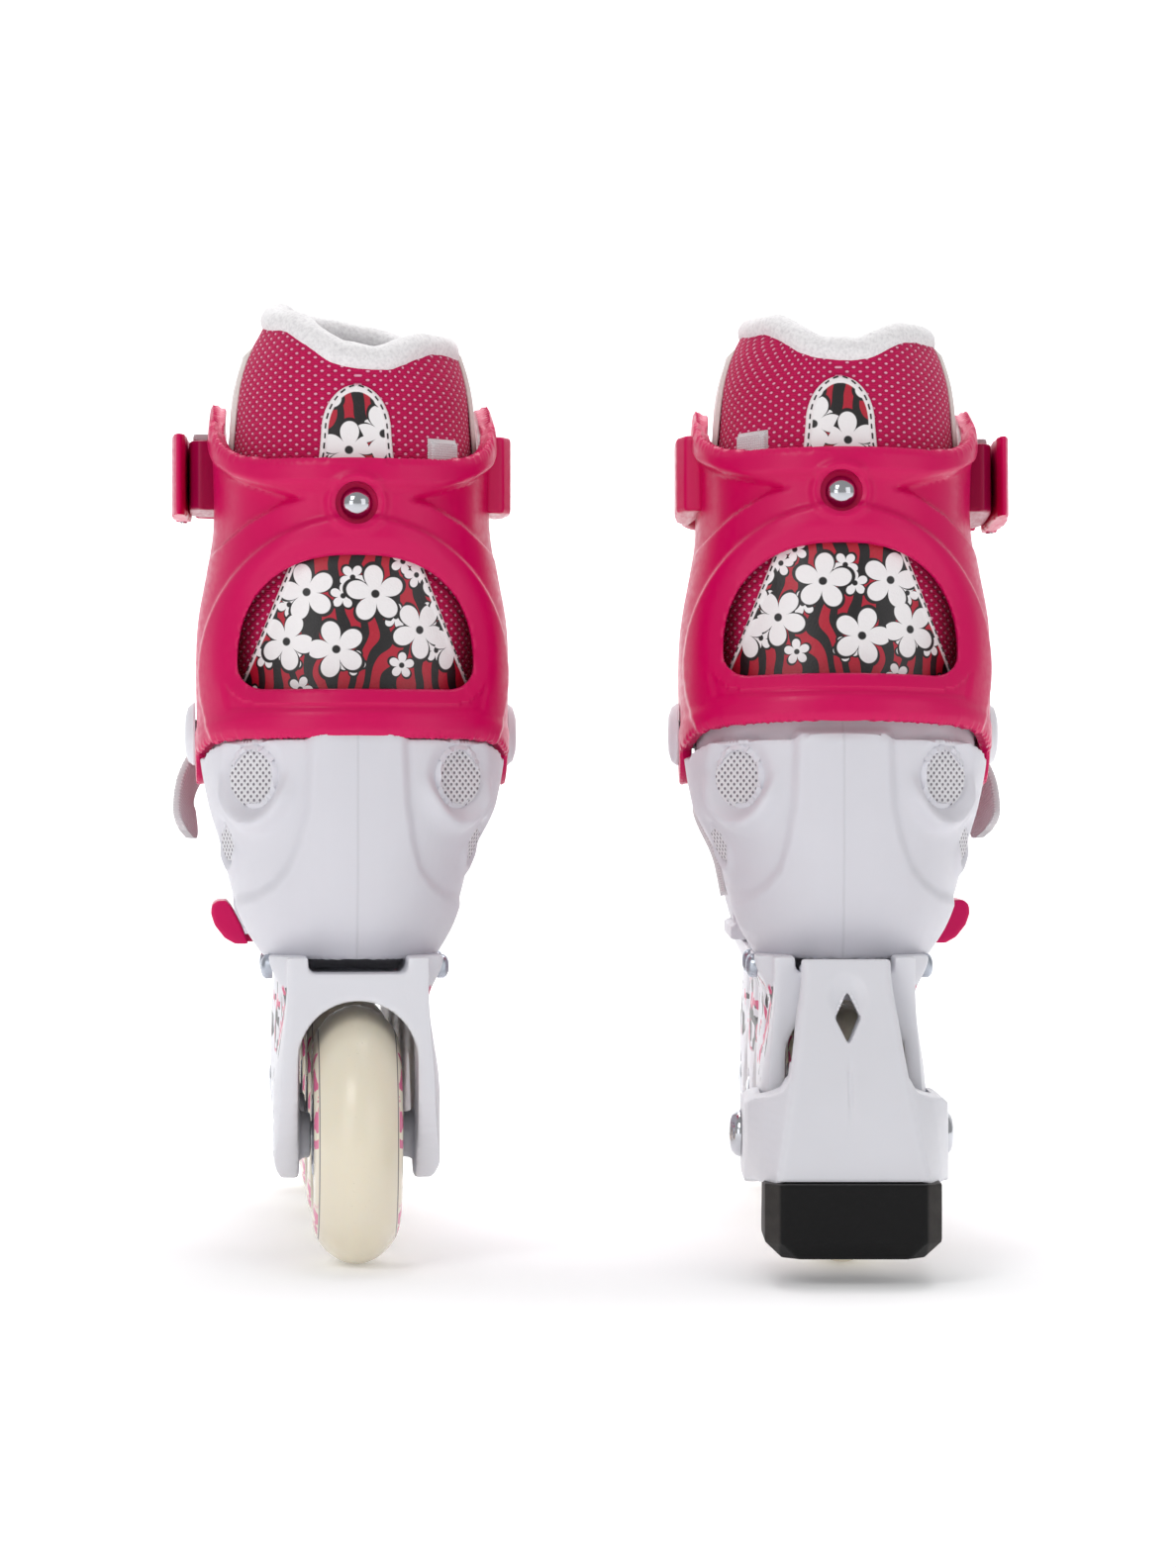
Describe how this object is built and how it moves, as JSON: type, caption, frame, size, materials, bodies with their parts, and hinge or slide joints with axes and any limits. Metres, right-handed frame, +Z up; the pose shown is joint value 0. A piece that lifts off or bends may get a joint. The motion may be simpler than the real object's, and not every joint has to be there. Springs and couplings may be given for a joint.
{
  "type": "inline skates",
  "caption": "Children's inline skates with a white heel shell and frame, a hinged pink cuff with a rear window and buckle, a padded liner, a sliding toe cap and a heel brake.",
  "frame": {"origin": "on the ground at the middle of the outline of the two skates standing side by side", "axes": "+Y towards the toes, +X towards the right skate, +Z up"},
  "size_m": [0.2374, 0.3276, 0.262],
  "materials": {
    "white_moulding": "white nylon moulding with a fine satin grain",
    "pink_moulding": "glossy magenta-pink moulding",
    "ivory_urethane": "smooth ivory cast urethane",
    "white_hub": "white moulded hub",
    "steel": "zinc-plated steel",
    "chrome": "polished domed rivet",
    "pink_mesh": "pink padded air mesh with a white plush collar",
    "white_webbing": "white woven hook-and-loop strap",
    "black_rubber": "matt black moulded brake rubber"
  },
  "bodies": {
    "pair": {"left_axle_1": "steel", "left_axle_2": "steel", "left_axle_3": "steel", "left_axle_4": "steel", "left_frame": "white_moulding", "left_instep_strap": "white_webbing", "left_liner_boot": "pink_mesh", "left_pivot_inner": "white_moulding", "left_pivot_outer": "white_moulding", "left_shell": "white_moulding", "right_axle_1": "steel", "right_axle_2": "steel", "right_axle_3": "steel", "right_axle_4": "steel", "right_brake_arm": "white_moulding", "right_brake_pad": "black_rubber", "right_frame": "white_moulding", "right_instep_strap": "white_webbing", "right_liner_boot": "pink_mesh", "right_pivot_inner": "white_moulding", "right_pivot_outer": "white_moulding", "right_shell": "white_moulding"},
    "left_wheel_1": {"left_tyre_1": "ivory_urethane", "left_hub_1": "white_hub", "left_bearings_1": "steel"},
    "left_wheel_2": {"left_tyre_2": "ivory_urethane", "left_hub_2": "white_hub", "left_bearings_2": "steel"},
    "left_wheel_3": {"left_tyre_3": "ivory_urethane", "left_hub_3": "white_hub", "left_bearings_3": "steel"},
    "left_wheel_4": {"left_tyre_4": "ivory_urethane", "left_hub_4": "white_hub", "left_bearings_4": "steel"},
    "left_cuff_body": {"left_cuff": "pink_moulding", "left_liner_cuff": "pink_mesh", "left_ladder_strap": "pink_moulding", "left_cuff_rivet": "chrome"},
    "left_lever": {"left_buckle_lever": "pink_moulding"},
    "left_toe": {"left_toe_cap": "white_moulding"},
    "left_button": {"left_size_button": "pink_moulding"},
    "right_wheel_1": {"right_tyre_1": "ivory_urethane", "right_hub_1": "white_hub", "right_bearings_1": "steel"},
    "right_wheel_2": {"right_tyre_2": "ivory_urethane", "right_hub_2": "white_hub", "right_bearings_2": "steel"},
    "right_wheel_3": {"right_tyre_3": "ivory_urethane", "right_hub_3": "white_hub", "right_bearings_3": "steel"},
    "right_wheel_4": {"right_tyre_4": "ivory_urethane", "right_hub_4": "white_hub", "right_bearings_4": "steel"},
    "right_cuff_body": {"right_cuff": "pink_moulding", "right_liner_cuff": "pink_mesh", "right_ladder_strap": "pink_moulding", "right_cuff_rivet": "chrome"},
    "right_lever": {"right_buckle_lever": "pink_moulding"},
    "right_toe": {"right_toe_cap": "white_moulding"},
    "right_button": {"right_size_button": "pink_moulding"}
  },
  "joints": [
    {"name": "left_wheel_1_spin", "type": "hinge", "parent": "pair", "child": "left_wheel_1", "pos_m": [-0.066, -0.09908, 0.035], "axis": [-0.999, -0.0436, 0], "continuous": true},
    {"name": "left_wheel_2_spin", "type": "hinge", "parent": "pair", "child": "left_wheel_2", "pos_m": [-0.06932, -0.02315, 0.035], "axis": [-0.999, -0.0436, 0], "continuous": true},
    {"name": "left_wheel_3_spin", "type": "hinge", "parent": "pair", "child": "left_wheel_3", "pos_m": [-0.07263, 0.05278, 0.035], "axis": [-0.999, -0.0436, 0], "continuous": true},
    {"name": "left_wheel_4_spin", "type": "hinge", "parent": "pair", "child": "left_wheel_4", "pos_m": [-0.07594, 0.12871, 0.035], "axis": [-0.999, -0.0436, 0], "continuous": true},
    {"name": "left_cuff_flex", "type": "hinge", "parent": "pair", "child": "left_cuff_body", "pos_m": [-0.06796, -0.05412, 0.144], "axis": [-0.999, -0.0436, 0], "range_deg": [0, 14]},
    {"name": "left_buckle_hinge", "type": "hinge", "parent": "left_cuff_body", "child": "left_lever", "pos_m": [-0.11605, -0.0302, 0.213], "axis": [0, 0, -1], "range_deg": [0, 105]},
    {"name": "left_toe_slide", "type": "slide", "parent": "pair", "child": "left_toe", "axis": [-0.0436, 0.999, 0], "range_m": [0, 0.02]},
    {"name": "left_button_press", "type": "slide", "parent": "pair", "child": "left_button", "axis": [0.999, 0.0436, 0], "range_m": [0, 0.003], "stiffness_N_per_m": 300},
    {"name": "right_wheel_1_spin", "type": "hinge", "parent": "pair", "child": "right_wheel_1", "pos_m": [0.066, -0.09908, 0.035], "axis": [-0.999, 0.0436, 0], "continuous": true},
    {"name": "right_wheel_2_spin", "type": "hinge", "parent": "pair", "child": "right_wheel_2", "pos_m": [0.06932, -0.02315, 0.035], "axis": [-0.999, 0.0436, 0], "continuous": true},
    {"name": "right_wheel_3_spin", "type": "hinge", "parent": "pair", "child": "right_wheel_3", "pos_m": [0.07263, 0.05278, 0.035], "axis": [-0.999, 0.0436, 0], "continuous": true},
    {"name": "right_wheel_4_spin", "type": "hinge", "parent": "pair", "child": "right_wheel_4", "pos_m": [0.07594, 0.12871, 0.035], "axis": [-0.999, 0.0436, 0], "continuous": true},
    {"name": "right_cuff_flex", "type": "hinge", "parent": "pair", "child": "right_cuff_body", "pos_m": [0.06796, -0.05412, 0.144], "axis": [-0.999, 0.0436, 0], "range_deg": [-4.5, 9.5]},
    {"name": "right_buckle_hinge", "type": "hinge", "parent": "right_cuff_body", "child": "right_lever", "pos_m": [0.11628, -0.02487, 0.21075], "axis": [0.0034, 0.0784, 0.9969], "range_deg": [0, 105]},
    {"name": "right_toe_slide", "type": "slide", "parent": "pair", "child": "right_toe", "axis": [0.0436, 0.999, 0], "range_m": [0, 0.02]},
    {"name": "right_button_press", "type": "slide", "parent": "pair", "child": "right_button", "axis": [-0.999, 0.0436, 0], "range_m": [0, 0.003], "stiffness_N_per_m": 300}
  ]
}
